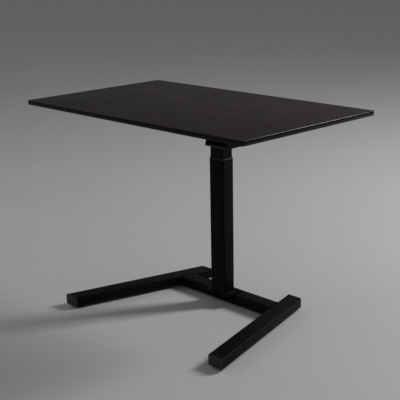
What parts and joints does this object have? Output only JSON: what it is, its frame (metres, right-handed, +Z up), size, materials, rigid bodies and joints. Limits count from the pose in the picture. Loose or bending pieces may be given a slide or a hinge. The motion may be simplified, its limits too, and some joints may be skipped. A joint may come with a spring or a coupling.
{
  "type": "height adjustable standing desk",
  "caption": "Rectangular black desk top on a single telescopic gas-spring column with splayed feet, raised and lowered by a hand paddle under the front edge.",
  "frame": {"origin": "on the floor, below the middle of the top", "axes": "+Z up, +X to the user's right along the top's long side, +Y away from the user, who sits on the -Y side"},
  "size_m": [1.2, 0.71, 0.868],
  "materials": {
    "top_laminate": "satin charcoal-black melamine laminate on fibreboard",
    "edge_band": "black ABS edge band, softened edges",
    "black_powder_coat": "fine-textured matte black powder coat on steel",
    "black_plastic": "black moulded nylon, fine matte grain",
    "foot_pad": "black rubber pad on a threaded stem",
    "rod_chrome": "hard-chromed ground steel",
    "cable_jacket": "black PVC cable jacket",
    "black_bolt": "black-oxide steel socket screw",
    "zinc_steel": "bright zinc-plated steel"
  },
  "bodies": {
    "base": {"crossbar": "black_powder_coat", "column_saddle": "black_powder_coat", "outer_column": "black_powder_coat", "upper_glide": "black_plastic", "gas_spring_cylinder": "black_powder_coat", "foot_tube_left": "black_powder_coat", "foot_tube_right": "black_powder_coat", "foot_cap_front_left": "black_plastic", "foot_cap_front_right": "black_plastic", "foot_cap_rear_left": "black_plastic", "foot_cap_rear_right": "black_plastic", "base_gusset_left": "black_powder_coat", "base_gusset_right": "black_powder_coat", "saddle_bolt_top_left": "black_bolt", "saddle_bolt_top_right": "black_bolt", "saddle_bolt_front_left": "black_bolt", "saddle_bolt_front_right": "black_bolt"},
    "lift": {"top_panel": "top_laminate", "edge_band": "edge_band", "inner_column": "black_powder_coat", "lower_glide": "black_plastic", "gas_spring_rod": "rod_chrome", "rod_nut_upper": "zinc_steel", "rod_nut_lower": "zinc_steel", "head_plate": "black_powder_coat", "beam_front": "black_powder_coat", "beam_rear": "black_powder_coat", "side_bar_left": "black_powder_coat", "side_bar_right": "black_powder_coat", "release_bracket": "zinc_steel", "rocker_pivot_pin": "zinc_steel", "cable_adjuster": "zinc_steel", "release_cable": "cable_jacket", "cable_clip_1": "black_plastic", "cable_clip_2": "black_plastic", "paddle_housing": "black_powder_coat", "paddle_pivot_pin": "zinc_steel", "housing_screw_left": "zinc_steel", "housing_screw_right": "zinc_steel", "head_bolt_front_left": "black_bolt", "head_bolt_front_right": "black_bolt", "head_bolt_rear_left": "black_bolt", "head_bolt_rear_right": "black_bolt", "side_bolt_front_left": "black_bolt", "side_bolt_front_right": "black_bolt", "side_bolt_rear_left": "black_bolt", "side_bolt_rear_right": "black_bolt", "top_screw_front_left": "zinc_steel", "top_screw_front_right": "zinc_steel", "top_screw_rear_left": "zinc_steel", "top_screw_rear_right": "zinc_steel"},
    "paddle": {"release_paddle": "black_plastic"},
    "paddle_wire": {"paddle_wire_end": "zinc_steel"},
    "head_wire": {"head_wire_end": "zinc_steel"},
    "rocker": {"release_rocker": "zinc_steel"},
    "release_pin": {"release_pin": "rod_chrome"},
    "leveller_front_left": {"levelling_foot_front_left": "foot_pad"},
    "leveller_front_right": {"levelling_foot_front_right": "foot_pad"},
    "leveller_rear_left": {"levelling_foot_rear_left": "foot_pad"},
    "leveller_rear_right": {"levelling_foot_rear_right": "foot_pad"}
  },
  "joints": [
    {"name": "column_lift", "type": "slide", "parent": "base", "child": "lift", "axis": [0, 0, 1], "range_m": [-0.17, 0.25]},
    {"name": "paddle_squeeze", "type": "hinge", "parent": "lift", "child": "paddle", "pos_m": [0.465, -0.3, 0.836], "axis": [-1, 0, 0], "range_deg": [0, 12], "stiffness_Nm_per_rad": 1, "springref_deg": -17.19},
    {"name": "paddle_wire_pull", "type": "slide", "parent": "lift", "child": "paddle_wire", "axis": [0, -1, 0], "range_m": [0, 0.0021]},
    {"name": "head_wire_pull", "type": "slide", "parent": "lift", "child": "head_wire", "axis": [0, -1, 0], "range_m": [0, 0.0021]},
    {"name": "rocker_turn", "type": "hinge", "parent": "lift", "child": "rocker", "pos_m": [0, 0.169, 0.8324], "axis": [1, 0, 0], "range_deg": [0, 11]},
    {"name": "release_pin_push", "type": "slide", "parent": "lift", "child": "release_pin", "axis": [0, 0, -1], "range_m": [0, 0.0026]},
    {"name": "level_front_left", "type": "slide", "parent": "base", "child": "leveller_front_left", "axis": [0, 0, -1], "range_m": [0, 0.01]},
    {"name": "level_front_right", "type": "slide", "parent": "base", "child": "leveller_front_right", "axis": [0, 0, -1], "range_m": [0, 0.01]},
    {"name": "level_rear_left", "type": "slide", "parent": "base", "child": "leveller_rear_left", "axis": [0, 0, -1], "range_m": [0, 0.01]},
    {"name": "level_rear_right", "type": "slide", "parent": "base", "child": "leveller_rear_right", "axis": [0, 0, -1], "range_m": [0, 0.01]}
  ],
  "couplings": [
    {"joint": "paddle_wire_pull", "follows": "paddle_squeeze", "m_per_rad": 0.009},
    {"joint": "head_wire_pull", "follows": "paddle_squeeze", "m_per_rad": 0.009},
    {"joint": "rocker_turn", "follows": "paddle_squeeze", "ratio": 0.81818},
    {"joint": "release_pin_push", "follows": "paddle_squeeze", "m_per_rad": 0.011455}
  ]
}
